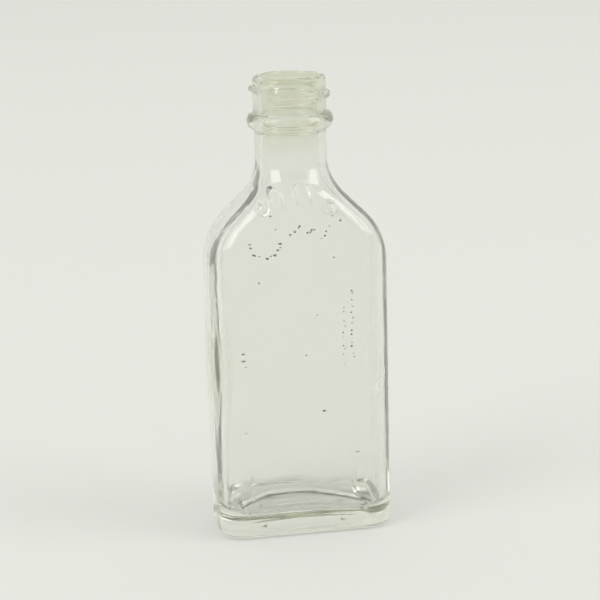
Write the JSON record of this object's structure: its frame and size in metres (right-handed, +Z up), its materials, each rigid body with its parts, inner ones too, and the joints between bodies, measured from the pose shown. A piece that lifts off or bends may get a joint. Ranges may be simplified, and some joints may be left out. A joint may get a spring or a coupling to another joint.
{
  "type": "medicine bottle",
  "caption": "Flat oblong clear glass medicine bottle with a flat label panel, sloped shoulders, round neck, transfer bead and screw-thread mouth, open and empty.",
  "frame": {"origin": "centre of the bottle's outline at the level it stands on", "axes": "+Z up along the neck, X across the width, -Y is the flat label panel"},
  "size_m": [0.0426, 0.0246, 0.1103],
  "materials": {
    "clear_glass": "clear moulded glass with a faint yellow-green cast, gloss, slightly rippled"
  },
  "bodies": {
    "root": {"glass_bottle": "clear_glass"}
  },
  "joints": []
}
